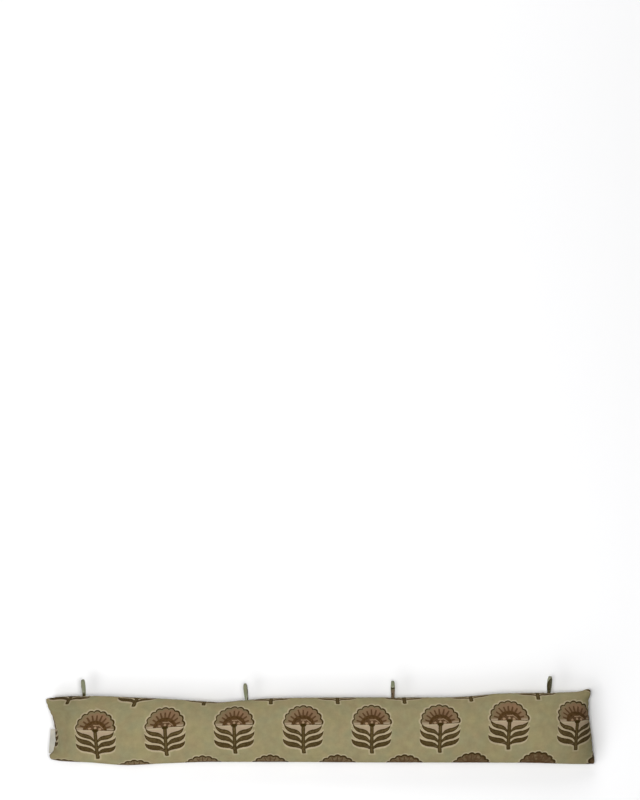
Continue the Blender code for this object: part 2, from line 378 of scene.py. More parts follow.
def puckers_along(start, end, usual, seed):
    """Little folds at uneven places along a seam. The usual pucker's place is their spacing."""
    dice = random.Random(seed)
    folds = []
    place = start + usual.place * dice.uniform(0.3, 0.9)
    while place < end:
        folds.append(
            Pucker(
                place,
                usual.depth * dice.uniform(0.35, 1.25),
                usual.width * dice.uniform(0.8, 1.3),
                usual.length * dice.uniform(0.5, 1.4),
                usual.lean * dice.uniform(-1.0, 1.0),
            )
        )
        place += usual.place * dice.uniform(0.7, 1.4)
    return folds


def gathered(place, inward, folds):
    """How far the cloth sinks into the folds, from the place along the seam and inward of it."""
    sunk = np.zeros(place.shape)
    for fold in folds:
        fading = np.clip(1 - inward / fold.length, 0.0, 1.0) ** 1.5
        spread = fold.width * (1 + inward / fold.length)
        off = (place - fold.place - fold.lean * inward) / spread
        sunk += fold.depth * fading * np.exp(-off * off)
    return sunk


def rough(x, y, z):
    """Unevenness about 0, read at places in a cloud of it."""
    places = np.stack(np.broadcast_arrays(x, y, z), axis=-1)
    heights = [noise.noise(Vector(place)) for place in places.reshape(-1, 3)]
    return np.array(heights).reshape(places.shape[:-1])


def lumpy(points, layer):
    """Uneven filling, felt through the cloth."""
    rise = np.zeros(points.shape[:-1])
    for size, height in FILLING_LUMPS:
        rise += height * rough(points[..., 0] / size, points[..., 1] / size, layer)
    return rise


def worked(points, upper):
    """The side with its puckers and uneven filling."""
    from_left = run_between(points, 0)
    to_right = from_left[-1:] - from_left
    from_fold = run_between(points, 1)
    to_seam = from_fold[:, -1:] - from_fold
    side = 1 if upper else 2
    left_folds = puckers_along(*LEFT_END_PUCKERED, END_PUCKERS, 10 + side)
    right_folds = puckers_along(*RIGHT_END_PUCKERED, END_PUCKERS, 20 + side)
    seam_folds = puckers_along(*SEAM_PUCKERED, SEAM_PUCKERS, 30 + side)
    for loop in HANGING_LOOPS:
        for beside, depth in LOOP_PUCKERS:
            size = (depth, LOOP_PUCKER_WIDTH, LOOP_PUCKER_LENGTH)
            seam_folds.append(Pucker(loop.along + beside, *size, beside * LOOP_PUCKER_SPLAY))
    sink = gathered(points[..., 1], from_left, left_folds)
    sink += gathered(points[..., 1], to_right, right_folds)
    sink += gathered(points[..., 0], to_seam, seam_folds)
    near_edge = ease(np.minimum(to_seam, np.minimum(from_left, to_right)) / FREE_OF_SEAM)
    rise = lumpy(points, side * 7.3) * near_edge * ease(from_fold / FREE_OF_FOLD) - sink
    outward = facing(points) * (1 if upper else -1)
    if not upper:
        rise = rise * ease(points[..., 2] / FREE_OF_FLOOR)
    moved = points + outward * rise[..., None]
    moved[..., 2] = np.maximum(moved[..., 2], 0.0)
    return moved


u_grid = crowded(np.linspace(-1, 1, COLUMNS + 1), COLUMN_CROWDING)[:, None]
v_grid = crowded(np.linspace(-1, 1, ROWS + 1), ROW_CROWDING)[None, :]
u_grid, v_grid = np.broadcast_arrays(u_grid, v_grid)
upper_side = worked(cover_points(u_grid, v_grid, upper=True), upper=True)
under_side = worked(cover_points(u_grid, v_grid, upper=False), upper=False)

# The narrow wall between the two sides. At a seam it is two lips with a groove where they are
# sewn, and at the fold one round edge. Each row is a share of the way down and a push outward.
SEAM_WALL_ROWS = ((0.22, 0.00030), (0.50, -0.00065), (0.78, 0.00030))
FOLD_WALL_ROWS = ((0.25, 0.00040), (0.50, 0.00055), (0.75, 0.00040))


def outward_of(outline):
    """The level direction out of a closed outline that runs clockwise, at each of its points."""
    ahead = np.roll(outline, -1, axis=0) - np.roll(outline, 1, axis=0)
    return unit(np.stack([-ahead[:, 1], ahead[:, 0], np.zeros(len(outline))], axis=-1))


def wall(above, below, out, rows):
    """The rows of points between two edges, each with its push outward."""
    return [above + (below - above) * share + out * push for share, push in rows]


seam_line = upper_side[:, -1]
right_line = upper_side[-1, ::-1]
fold_line = upper_side[::-1, 0]
left_line = upper_side[0]
outline = np.concatenate([seam_line, right_line[1:-1], fold_line, left_line[1:-1]])
out = outward_of(outline)
turns = np.cumsum([COLUMNS + 1, ROWS - 1, COLUMNS + 1])
seam_out, right_out, fold_out, left_out = np.split(out, turns)
fold_out = fold_out[::-1]

seam_wall = wall(upper_side[:, -1], under_side[:, -1], seam_out, SEAM_WALL_ROWS)
fold_wall = wall(upper_side[:, 0], under_side[:, 0], fold_out, FOLD_WALL_ROWS)
lip_above, groove, lip_below = seam_wall

# The tube, as rings that run from the groove of the long seam over the upper side, round the
# fold and back along the underside to the same groove.
ring = np.concatenate(
    [
        np.stack([groove, lip_above], axis=1),
        upper_side[:, ::-1],
        np.stack(fold_wall, axis=1),
        under_side,
        lip_below[:, None],
        groove[:, None],
    ],
    axis=1,
)
FOLD_RING = ROWS + 4  # the ring point at the middle of the fold
AROUND = ring.shape[1] - 1
cloth_u = run_between(ring, 0)
cloth_u = cloth_u - cloth_u[COLUMNS // 2]
cloth_v = run_between(ring, 1)
cloth_v = cloth_v[:, FOLD_RING : FOLD_RING + 1] - cloth_v

# The cloth is as wide at its ends as anywhere, but gathered there.
GATHERED_BEYOND = 0.372
ungathered = np.clip(ring[:, 2 + ROWS // 2, 0], -GATHERED_BEYOND, GATHERED_BEYOND)
for edge in (0, -1):
    width = np.interp(ungathered, ring[:, 2 + ROWS // 2, 0], cloth_v[:, edge])
    side_part = cloth_v > 0 if edge == 0 else cloth_v < 0
    cloth_v = np.where(side_part, cloth_v * (width / cloth_v[:, edge])[:, None], cloth_v)

points = [ring[:, :-1].reshape(-1, 3)]
ring_index = np.arange((COLUMNS + 1) * AROUND).reshape(COLUMNS + 1, AROUND)
ring_index = np.concatenate([ring_index, ring_index[:, :1]], axis=1)
corner_index = []
corner_cloth = []


def cells(grid, corners):
    """The four corners of each cell of a grid of values, in the order that is asked for."""
    tall, wide = grid.shape[:2]
    picked = [grid[i : tall - 1 + i, j : wide - 1 + j] for i, j in corners]
    return np.stack(picked, axis=2)


def lay_quads(index, u, v, turned):
    """Joins a grid of points with four-cornered faces, and keeps their places on the cloth."""
    corners = ((0, 0), (0, 1), (1, 1), (1, 0))
    if turned:
        corners = corners[::-1]
    corner_index.append(cells(index, corners).reshape(-1, 4))
    corner_cloth.append(cells(np.stack([u, v], axis=-1), corners).reshape(-1, 2))


lay_quads(ring_index, cloth_u, cloth_v, turned=False)

# The run of cloth from the end edge over the lip to the groove
END_SEAM_CLOTH = (0.0, 0.0009, 0.0019)


def close_end(column, out_of_end, turned):
    """The end seam: two lips and a groove between the last rows of the two sides."""
    above = upper_side[column, ::-1]
    below = under_side[column, ::-1]
    rows = wall(above[1:-1], below[1:-1], out_of_end, SEAM_WALL_ROWS)
    first = sum(len(part) for part in points)
    points.append(np.concatenate(rows))
    made = first + np.arange(3 * (ROWS - 1)).reshape(3, ROWS - 1)
    at = ring_index[column]
    side_walls = np.array([[at[1], at[ROWS + 3]], [at[0], at[ROWS + 4]], [at[-2], at[ROWS + 5]]])
    across = np.concatenate([side_walls[:, :1], made, side_walls[:, 1:]], axis=1)
    upper_part = slice(2, ROWS + 3)
    lower_part = slice(2 * ROWS + 6, ROWS + 5, -1)
    index = np.stack([at[upper_part], *across, at[lower_part]], axis=1)
    reach = np.array(END_SEAM_CLOTH) * (1 if column else -1)
    halves = ((upper_part, index[:, :3], reach), (lower_part, index[:, 2:], reach[::-1]))
    for part, columns, out in halves:
        end_u, end_v = cloth_u[column, part, None], cloth_v[column, part, None]
        lay_quads(columns, end_u + out, end_v + 0 * out, turned)


close_end(0, left_out[::-1], turned=False)
close_end(COLUMNS, right_out, turned=True)

all_points = np.concatenate(points)
faces = np.concatenate(corner_index)
cloth_places = np.concatenate(corner_cloth)

# How the print lies on the cloth: its line of flowers wanders a little along the piece, and the
# filling and the seams have pulled the cloth askew, most at the ends. The four places aside are
# those beside the seam, above the line, at the line and below it.
PrintLine = namedtuple("PrintLine", "along from_fold stretch raised sunk seam above at below")
PRINT_LINES = (
    PrintLine(-0.4819, 0.0660, 1.00, 0.0130, 0.0050, -0.0070, 0.0230, 0.0230, -0.0040),
    PrintLine(-0.4370, 0.0662, 1.00, 0.0108, 0.0048, -0.0070, 0.0140, 0.0140, -0.0045),
    PrintLine(-0.4050, 0.0665, 1.00, 0.0082, 0.0046, -0.0075, 0.0020, 0.0004, -0.0040),
    PrintLine(-0.3686, 0.0670, 1.00, 0.0030, 0.0024, -0.0052, 0.0032, 0.0002, -0.0016),
    PrintLine(-0.3050, 0.0706, 1.00, 0.0034, 0.0004, -0.0046, 0.0016, 0.0004, -0.0004),
    PrintLine(-0.2548, 0.0733, 1.02, 0.0018, 0.0000, -0.0010, 0.0012, 0.0012, 0.0006),
    PrintLine(-0.1399, 0.0760, 1.00, 0.0000, 0.0000, 0.0012, 0.0012, 0.0012, 0.0012),
    PrintLine(-0.0279, 0.0753, 1.01, -0.0012, 0.0000, 0.0008, 0.0010, 0.0010, 0.0008),
    PrintLine(0.0853, 0.0761, 1.02, -0.0010, 0.0000, 0.0000, -0.0006, 0.0002, 0.0002),
    PrintLine(0.1973, 0.0779, 1.01, -0.0010, 0.0000, -0.0018, -0.0030, -0.0010, -0.0010),
    PrintLine(0.3108, 0.0822, 1.02, -0.0010, 0.0000, -0.0026, -0.0030, -0.0010, -0.0020),
    PrintLine(0.4242, 0.0810, 1.06, 0.0000, 0.0000, -0.0026, -0.0078, -0.0012, -0.0022),
    PrintLine(0.4560, 0.0810, 1.06, 0.0060, 0.0020, 0.0050, -0.0050, -0.0012, 0.0060),
)
ASKEW_BELOW = 0.225  # lean of the threads below the flowers' hearts, for each metre along
ASKEW_ABOVE = 0.074
ASKEW_AT_SEAM = 1.1  # and near the long seam, where its stitches have drawn the cloth along
NEAR_SEAM = 0.036
ASKEW_DOWN_TO = -0.085  # round the fold it leans no further
ASKEW_NONE_AT = 0.020
DRAWN_OVER = 0.009  # how far the cloth above the line is drawn over the left end
DRAWN_FROM = -0.424
DRAWN_RUN = 0.014
BESIDE_PETALS = 0.030  # from the hearts up, as far as the line above takes over
ROW_ABOVE_FROM = 0.0350
ROW_ABOVE_SWING = 0.0020  # it starts so much higher over a flower, and lower between two
ROW_ABOVE_RUN = 0.005
ROW_BELOW_FROM = 0.044
ROW_BELOW_RUN = 0.008
EASED_WIDTH = 0.012
EASED_IN = 0.0140
EASED_LEFT = 0.25  # share of it towards the left end
EASED_LEFT_TO = -0.240
EASED_LEFT_RUN = 0.030
FLOWER_PITCH = 0.1133
FIRST_FLOWER = -0.0285

cloth_along, from_fold = cloth_places.T
lies = {
    column: curve_through(PRINT_LINES, column)(cloth_along) for column in PrintLine._fields[1:]
}
from_heart = from_fold - lies["from_fold"]
lean = np.where(from_heart < 0, -ASKEW_BELOW, ASKEW_ABOVE) * np.maximum(from_heart, ASKEW_DOWN_TO)
lean = lean + ASKEW_AT_SEAM * np.maximum(from_heart - NEAR_SEAM, 0.0) * (cloth_along < 0)
aside = lies["at"] + (lies["above"] - lies["at"]) * ease(from_heart / BESIDE_PETALS)
under_flower = np.cos((cloth_along - lies["above"] - FIRST_FLOWER) * 2 * math.pi / FLOWER_PITCH)
above = ease((from_heart - ROW_ABOVE_FROM - ROW_ABOVE_SWING * under_flower) / ROW_ABOVE_RUN)
below = ease((-from_heart - ROW_BELOW_FROM) / ROW_BELOW_RUN)
aside = aside + (lies["seam"] - lies["above"]) * above + (lies["below"] - lies["at"]) * below
drawn_over = DRAWN_OVER * ease((DRAWN_FROM - cloth_along) / DRAWN_RUN)
aside = aside - drawn_over * ease((from_heart + 0.001) / 0.005)
printed_along = cloth_along + lean * (cloth_along - ASKEW_NONE_AT) - aside
from_heart = np.where(from_heart > 0, from_heart / lies["stretch"], from_heart)
from_heart = from_heart - lies["raised"] * above + lies["sunk"] * below

# The long seam's stitches ease the cloth beside them in.
to_seam = np.interp(cloth_along, cloth_u[:, 0], cloth_v[:, 0]) - from_fold
near_seam = np.clip(1 - to_seam / EASED_WIDTH, 0.0, 1.0)
eased_share = EASED_LEFT + (1 - EASED_LEFT) * ease((cloth_along - EASED_LEFT_TO) / EASED_LEFT_RUN)
from_heart = from_heart + EASED_IN * eased_share * near_seam**1.25
printed_places = np.stack([printed_along, from_heart], axis=-1)

# The same cloth laid out for painting: two half lengths, one above the other
PAINT_MARGIN = 0.006
half_length = np.abs(cloth_places[:, 0]).max()
low_v, high_v = cloth_places[:, 1].min(), cloth_places[:, 1].max()
in_left_half = np.repeat(cloth_places[:, 0].reshape(-1, 4).mean(axis=1) < 0, 4)
share_along = np.abs(cloth_places[:, 0]) / half_length
share_along = np.where(in_left_half, 1 - share_along, share_along)
share_across = (cloth_places[:, 1] - low_v) / (high_v - low_v)
paint_places = np.stack(
    [
        PAINT_MARGIN + share_along * (1 - 2 * PAINT_MARGIN),
        PAINT_MARGIN + share_across * (0.5 - 2 * PAINT_MARGIN) + np.where(in_left_half, 0, 0.5),
    ],
    axis=-1,
)


def new_piece(name, mesh_data, material, node):
    """A piece of the model that stands for a CAD node."""
    piece = into_scene(name, mesh_data)
    mesh_data.materials.append(material)
    mesh_data.shade_smooth()
    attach(piece, "root")
    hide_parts(node)
    return piece


def lay_map(mesh, name, places):
    """Keeps each corner's place on the cloth, or on the sheet that is painted."""
    uv_map = mesh.uv_layers.new(name=name)
    uv_map.data.foreach_set("uv", np.array(places, dtype=np.float32).ravel())


def new_mesh(name, points, faces, cloth):
    """A mesh that has, at each corner of each face, the place on the cloth."""
    mesh = bpy.data.meshes.new(name)
    mesh.from_pydata(points, [], faces)
    lay_map(mesh, "Cloth", cloth)
    return mesh


cover_mesh = new_mesh("Cover", all_points.tolist(), faces.tolist(), printed_places)
lay_map(cover_mesh, "OFBake", paint_places)


# The cloth's colours and its print. The ground is dyed khaki round each flower, which is blocked
# on in three colours: a rose brown for the petals, a red brown for the heart and a dark brown
# for the lines and leaves.

GROUND_KHAKI = (0.276, 0.240, 0.122)
GROUND_GREEN = (0.248, 0.236, 0.136)
GROUND_BROWN = (0.272, 0.216, 0.116)
BARE_CLOTH = (0.350, 0.270, 0.180)
BARE_RIM = (0.415, 0.352, 0.222)
PETAL_ROSE = (0.202, 0.112, 0.060)
PETAL_KHAKI = (0.164, 0.128, 0.065)
HEART_BROWN = (0.087, 0.047, 0.021)
STROKE_BROWN = (0.068, 0.032, 0.011)
ARCH_RED = (0.050, 0.025, 0.006)
ARCH_BROWN = (0.096, 0.050, 0.018)
LINE_BROWN = (0.036, 0.021, 0.003)
LEAF_BROWN = (0.096, 0.066, 0.022)
BEAD_CREAM = (0.290, 0.195, 0.115)


class Reading:
    """A number read at each spot of the cloth. Sums of readings are sums of Math nodes."""

    def __init__(self, tree, socket):
        self.tree = tree
        self.socket = socket

    def worked(self, operation, *others, clamp=False):
        node = self.tree.nodes.new("ShaderNodeMath")
        node.operation = operation
        node.use_clamp = clamp
        for place, value in enumerate((self, *others)):
            if isinstance(value, Reading):
                self.tree.links.new(value.socket, node.inputs[place])
            else:
                node.inputs[place].default_value = value
        return Reading(self.tree, node.outputs[0])

    __add__ = __radd__ = partialmethod(worked, "ADD")
    __sub__ = partialmethod(worked, "SUBTRACT")
    __mul__ = __rmul__ = partialmethod(worked, "MULTIPLY")
    __truediv__ = partialmethod(worked, "DIVIDE")
    __neg__ = partialmethod(worked, "MULTIPLY", -1.0)
    __abs__ = partialmethod(worked, "ABSOLUTE")
    least = partialmethod(worked, "MINIMUM")
    most = partialmethod(worked, "MAXIMUM")

    def __rsub__(self, other):
        return self.worked("MULTIPLY_ADD", -1.0, other)

    def held(self, low=0.0, high=1.0):
        return self.most(low).least(high)

    def within(self, softness):
        """1 inside a figure and 0 outside, from a distance to its edge that is negative inside."""
        return self.worked("MULTIPLY_ADD", -1.0 / softness, 0.5, clamp=True)


def far(x, y):
    """How far a spot is from the point that x and y are measured from."""
    return (x * x + y * y).worked("SQRT")


def turns_round(x, y, steps):
    """How many steps round a spot lies, of those that make half a turn."""
    return y.worked("ARCTAN2", x) * (steps / math.pi)


def new_group(name, inputs, outputs):
    """A node group. Each input has a name and a kind, and each output is a number."""
    group = bpy.data.node_groups.new(name, "ShaderNodeTree")
    for socket_name, kind in inputs:
        group.interface.new_socket(socket_name, in_out="INPUT", socket_type=kind)
    for socket_name in outputs:
        group.interface.new_socket(socket_name, in_out="OUTPUT", socket_type="NodeSocketFloat")
    return group, group.nodes.new("NodeGroupInput"), group.nodes.new("NodeGroupOutput")


def give(tree, made, **readings):
    """Sends each reading to the group's output of its name."""
    for name, reading in readings.items():
        tree.links.new(reading.socket, made.inputs[name])


def places_on(tree, cloth):
    """How far along and across the cloth each spot is, in metres."""
    split = tree.nodes.new("ShaderNodeSeparateXYZ")
    tree.links.new(cloth, split.inputs[0])
    return Reading(tree, split.outputs["X"]), Reading(tree, split.outputs["Y"])


def rough_noise(tree, vector, scale, detail=2.0, roughness=0.5):
    """A cloudy reading about 0, for edges and shades that a hand makes uneven."""
    node = tree.nodes.new("ShaderNodeTexNoise")
    tree.links.new(vector, node.inputs["Vector"])
    node.inputs["Scale"].default_value = scale
    node.inputs["Detail"].default_value = detail
    node.inputs["Roughness"].default_value = roughness
    return Reading(tree, node.outputs["Fac"]) - 0.5


def profile(tree, share, points):
    """A reading drawn as a curve through points, each a share of the way and a height."""
    node = tree.nodes.new("ShaderNodeFloatCurve")
    curve = node.mapping.curves[0]
    for _ in points[2:]:
        curve.points.new(0.5, 0.5)
    for point, place in zip(curve.points, points):
        point.location = place
    node.mapping.update()
    tree.links.new(share.socket, node.inputs["Value"])
    return Reading(tree, node.outputs["Value"])


# Where the blocks fall on the cloth, in millimetres
ROW_PITCH = 85.4
ROW_FOOT = -50.5  # the lowest that a flower's row reaches below its heart
ROW_MEETS = (-1.0, 3.5)  # how far above that the rows meet, under a flower and over one
ROW_SPREADS_FROM = 22.0
ROW_SPREAD = (0.0152, 0.0047)  # share wider apart for each row away, and for each row up

# The flower block, in millimetres from its heart
FAN_RADIUS = 34.6
FAN_PETALS = 9
PETAL_DIP = 2.6
FAN_FLATTER = 1.9  # how much less it reaches at its foot than at its top
FAN_FOOT = 1.0  # the fan's straight side lies this far above the heart's middle
LINE_HALF_WIDTH = 1.22
STROKE_TURNS = 10  # strokes in half a turn, one more than are drawn
STROKE_START = 14.0
STROKE_END = 26.0
STROKE_HALF_WIDTH = 2.2
STROKE_TAPER = 0.036
ARCH = (19.4, 16.9)
ARCH_HOLLOW = (13.6, 11.2)
DOT_TURNS = 11
DOT_RING = 10.6
DOT_RADIUS = 0.95
STEM_FOOT = -47.8
STEM_HALF_WIDTH = 2.95
STEM_BENT_FROM = -34.0
# Each pair of leaves: where it leaves the stem, then how far it reaches, how high it rises and
# half how deep it is, to the right and to the left
Leaf = namedtuple("Leaf", "junction reach rise half_depth left_reach left_rise left_half_depth")
LEAVES = (
    Leaf(-17.2, 30.6, 17.2, 3.4, 31.4, 20.1, 3.5),
    Leaf(-28.0, 33.2, 18.3, 4.0, 33.6, 21.2, 4.2),
    Leaf(-37.6, 31.8, 14.4, 3.8, 33.6, 14.9, 4.3),
)
LEAF_START = 2.6
# Along a leaf, from the stem to the tip: how far it has risen, and how deep it is
LEAF_SPINE = (
    (0.0, 0.0), (0.085, 0.14), (0.20, 0.28), (0.38, 0.38), (0.66, 0.48), (0.90, 0.70), (1.0, 0.98)
)
LEAF_FULLNESS = (
    (0.0, 0.58), (0.085, 0.74), (0.25, 0.94), (0.42, 1.0), (0.66, 0.98), (0.90, 0.76), (1.0, 0.15)
)
INK_WANDER = 1.1
BARE_ROUND_FAN = 2.9
BARE_ROUND_LEAF = 2.7
BARE_ROUND_STEM = 2.3
BARE_RAGGED = 2.6


def fan_distance(x, y):
    """How far outside the scalloped fan of petals a spot is."""
    off_petal = (turns_round(x, y, FAN_PETALS).worked("FRACT") - 0.5) * 2.0
    edge = FAN_RADIUS - FAN_FLATTER - PETAL_DIP * off_petal * off_petal
    return (far(x, y) - edge - y / far(x, y) * FAN_FLATTER).worked("SMOOTH_MAX", FAN_FOOT - y, 4.0)


def make_flower_block():
    """The print: masks for the bare cloth and for each of the block's colours."""
    masks = "Bare Inner Petal Rose Stroke Heart Bead Arch Line Leaf".split()
    group, given, made = new_group("Flower block", [("Cloth", "NodeSocketVector")], masks)
    noisy = partial(rough_noise, group, given.outputs["Cloth"])
    metres_along, metres_across = places_on(group, given.outputs["Cloth"])
    along = metres_along * 1000.0
    across = metres_across * 1000.0

    # The rows, each other one moved on by half a flower. They meet higher over a flower than
    # under one.
    pitch = FLOWER_PITCH * 1000
    first = FIRST_FLOWER * 1000
    meeting = ((across - ROW_FOOT) / ROW_PITCH).worked("ROUND")
    off_flower = along / pitch - FIRST_FLOWER / FLOWER_PITCH - meeting * 0.5
    off_flower = abs((off_flower + 0.5).worked("FRACT") - 0.5)
    meets_at = ROW_FOOT + (off_flower * 24.0 - 5.5).held(*ROW_MEETS)
    row = ((across - meets_at) / ROW_PITCH).worked("FLOOR")
    y = across - row * ROW_PITCH
    spread = 1.0 + abs(row) * ROW_SPREAD[0] + row * ROW_SPREAD[1]
    half_step = abs(row * 0.5).worked("FRACT") * pitch
    along = (along - ROW_SPREADS_FROM) * spread + (ROW_SPREADS_FROM - first) - half_step
    column = (along / pitch + 0.5).worked("FLOOR")
    x = along - column * pitch

    # Ink spreads unevenly into the weave
    x = x + noisy(420.0) * INK_WANDER
    y = y + noisy(365.0) * INK_WANDER

    fan = fan_distance(x, y)
    arch_outer = (far(x / ARCH[0], y / ARCH[1]) - 1.0) * 17.0
    hollow = (far(x / ARCH_HOLLOW[0], y / ARCH_HOLLOW[1]) - 1.0) * 12.0
    in_arch = arch_outer.most(FAN_FOOT - y).within(0.6)
    arch = in_arch * (-hollow).within(1.2)
    heart = in_arch * hollow.within(0.5)

    # Petals, their ink thin at the foot, and rose ink on the middle ones, laid on a little to the
    # right of the lines
    petals = (fan + 0.1).most((FAN_FOOT + 2.8 - y) * 0.2).within(0.6)
    rose_edge = fan_distance(x - 0.9, y + 0.7) + noisy(150.0) * 3.0
    rose_edge = rose_edge + 3.0 + noisy(14.0) * 8.0
    rose = (x * 0.016 + 0.74).least(1.25 - x * 0.030).held()
    rose = rose * rose_edge.within(1.5) * (row + 1.15).held()

    # Lines: the scalloped edge, and the strokes that fan out from the heart
    in_row_below = (-row).held()
    edge_width = (x * 0.008).held(-0.20, 0.20) + LINE_HALF_WIDTH
    along_foot = (3.0 + FAN_FOOT - y).held() * (31.0 - abs(x)).held()
    edge_width = edge_width - along_foot * 0.85 + in_row_below * 0.5
    edge_line = (abs(fan + 0.5) - edge_width).within(0.5) * (1.0 - in_arch)
    out = far(x, y)
    off_stroke = 0.5 - abs(turns_round(x, y, STROKE_TURNS).worked("FRACT") - 0.5)
    off_stroke = off_stroke * out * (math.pi / STROKE_TURNS)
    stroke_width = STROKE_HALF_WIDTH - out * STROKE_TAPER - in_row_below * 0.3
    stroke_end = STROKE_END + noisy(60.0) * 9.0 + in_row_below * 6.0
    strokes = (off_stroke - stroke_width).most(out - stroke_end).most(3.4 - y).within(0.9)
    strokes = strokes * (1.0 - in_arch) * (out - STROKE_START).held() * 0.95
    mottled = noisy(160.0, detail=3.0) * 2.0 + 0.45 + metres_along * 0.9
    strokes = strokes.most(in_row_below * petals * mottled.held(0.12, 0.85))

    # In the heart, a pale bud under a short bar, with a bent petal on each side
    bar = abs(y - 8.9).most(abs(x - 0.6) - 3.6) - 0.7
    bud = far(x, (y - 4.6) * 0.8) - 1.9
    side_petal = far((abs(x + 0.6) - 8.3) * 0.7, y - 3.4 - noisy(200.0) * 4.0) - 1.7
    streak = (abs(x * 0.75 + y - 13.6) - 0.7).most(5.0 - x)
    pale = bar.least(bud).least(side_petal).least(streak).most(FAN_FOOT - y).within(0.9)
    dot_turn = turns_round(x, y, DOT_TURNS).worked("FRACT") - 0.5
    dots = far(dot_turn * out * (math.pi / DOT_TURNS), out - DOT_RING) - DOT_RADIUS
    dots = dots.most(2.0 - y).within(0.7)
    flush = (24.0 - out).held(0.0, 7.0) * (0.45 / 7.0)

    # Stem, its foot curving a little to the right, and the knob that it ends in
    foot = (STEM_BENT_FROM - y).most(0.0)
    stem = abs(x - foot * foot * 0.0056) - (STEM_HALF_WIDTH + foot * 0.030)
    stem = stem.most(y + 0.5).worked("SMOOTH_MAX", STEM_FOOT - y, 4.0)
    knob = (far(x / 5.0, (y - 0.4) / 2.7) - 1.0) * 3.2
    stem = stem.least(knob)

    # Three pairs of leaves
    right = (x * 4.0 + 0.5).held()
    reach_out = abs(x) - LEAF_START
    off_leaves = []
    off_bare = []
    for leaf in LEAVES:
        reach = right * (leaf.reach - leaf.left_reach) + (leaf.left_reach - LEAF_START)
        rise = right * (leaf.rise - leaf.left_rise) + leaf.left_rise
        depth = right * (leaf.half_depth - leaf.left_half_depth) + leaf.left_half_depth
        share = reach_out / reach
        spine = profile(group, share, LEAF_SPINE) * rise + leaf.junction
        half = profile(group, share, LEAF_FULLNESS) * depth
        past_tip = (share - 1.0) * 20.0
        beside = (abs(y - spine) - half) * 0.9
        off_leaves.append(beside.most(past_tip))
        off_bare.append((beside - BARE_ROUND_LEAF).most(past_tip - 1.8))
        if leaf is LEAVES[0]:
            # It is bare from the highest pair up to the fan.
            off_bare.append((spine - y).most(y - 1.0).most(past_tip - 1.4))
    leaves = reduce(Reading.least, off_leaves)
    leaf_bare = reduce(Reading.least, off_bare)
    inked = leaves.least(stem)
    leaf_mask = inked.within(0.55)
    rim = leaf_mask * (-(inked + 1.5)).within(1.2) * 0.85
    deep = leaves.within(0.55) * stem.held() * ((-y - 12.0) * 0.022).held(0.0, 0.5)

    # A pale vein at the start of the lowest leaf on the left
    vein = abs(y + 35.6 + abs(x + 9.0) * 0.12) - 0.35
    vein = vein.most(abs(x + 8.2) - 3.6).within(0.5)

    # The bare cloth that the dye of the ground was kept off, with a ragged edge
    bare = (fan - BARE_ROUND_FAN).least(leaf_bare).least(stem - BARE_ROUND_STEM)
    bare = bare + noisy(230.0, detail=3.0) * BARE_RAGGED
    inner = (fan - 1.0).least(leaf_bare + 1.8)
    give(
        group,
        made,
        Bare=bare.within(2.2) * (1.0 - (-(y + 39.0)).held(0.0, 8.0) * 0.05),
        Inner=inner.within(2.5),
        Petal=petals,
        Rose=rose,
        Heart=heart.most(flush * rose),
        Bead=pale * heart,
        Arch=arch.most(dots * heart * (1.0 - pale)),
        Stroke=strokes,
        Line=edge_line.most(rim).most(deep).most(knob.within(0.9)),
        Leaf=leaf_mask * (1.0 - vein * 0.75),
    )
    return group


# Plain weave
# Each thread goes over one and under the next, a little uneven in thickness.
THREAD_PITCH = 0.00095


def make_plain_weave():
    """The threads of a plain woven cloth: their height, and the painted shade in the gaps between
    them.
    """
    group, given, made = new_group(
        "Plain weave",
        [("Cloth", "NodeSocketVector"), ("Thread pitch", "NodeSocketFloat")],
        ["Height", "Shade"],
    )
    pitch = Reading(group, given.outputs["Thread pitch"])
    drift = rough_noise(group, given.outputs["Cloth"], 90.0)
    along, across = places_on(group, given.outputs["Cloth"])
    warp_wave = ((along / pitch + drift * 0.5) * math.pi).worked("SINE")
    weft_wave = ((across / pitch + drift * 0.5) * math.pi).worked("SINE")
    warp = abs(warp_wave)
    weft = abs(weft_wave)
    warp_over = (warp_wave * weft_wave * 6.0 + 0.5).held()
    warp_thread = warp.worked("POWER", 0.6) * weft.worked("POWER", 1.3)
    weft_thread = weft.worked("POWER", 0.6) * warp.worked("POWER", 1.3)
    thread = warp_thread * warp_over + weft_thread * (1.0 - warp_over)

    # Thick places that run along single threads
    for scale_x, scale_y in ((60.0, 1300.0), (1300.0, 60.0)):
        stretched = group.nodes.new("ShaderNodeVectorMath")
        stretched.operation = "MULTIPLY"
        stretched.inputs[1].default_value = (scale_x, scale_y, 1.0)
        group.links.new(given.outputs["Cloth"], stretched.inputs[0])
        thread = thread + rough_noise(group, stretched.outputs[0], 1.0, detail=1.0) * 0.55
    give(group, made, Height=thread, Shade=thread.held())
    return group


def mixed(tree, blend, share, *colours):
    """Two colours mixed, each a fixed one or one from a socket."""
    node = tree.nodes.new("ShaderNodeMix")
    node.data_type = "RGBA"
    node.blend_type = blend
    if isinstance(share, Reading):
        tree.links.new(share.socket, node.inputs["Factor"])
    else:
        node.inputs["Factor"].default_value = share
    for colour, socket in zip(colours, [s for s in node.inputs if s.type == "RGBA"]):
        if isinstance(colour, tuple):
            socket.default_value = (*colour, 1.0)
        else:
            tree.links.new(colour, socket)
    return next(s for s in node.outputs if s.type == "RGBA")


def over(tree, mask, below, above):
    """One colour laid over another where a mask is 1."""
    return mixed(tree, "MIX", mask, below, above)


def darkened(tree, colour, shade, tint=(1.0, 1.0, 1.0)):
    """A colour with less of it where the shade is below 1, and with a tint over all of it."""
    grey = tree.nodes.new("ShaderNodeCombineColor")
    for channel, share in zip(("Red", "Green", "Blue"), tint):
        tree.links.new((shade * share).socket, grey.inputs[channel])
    return mixed(tree, "MULTIPLY", 1.0, colour, grey.outputs[0])
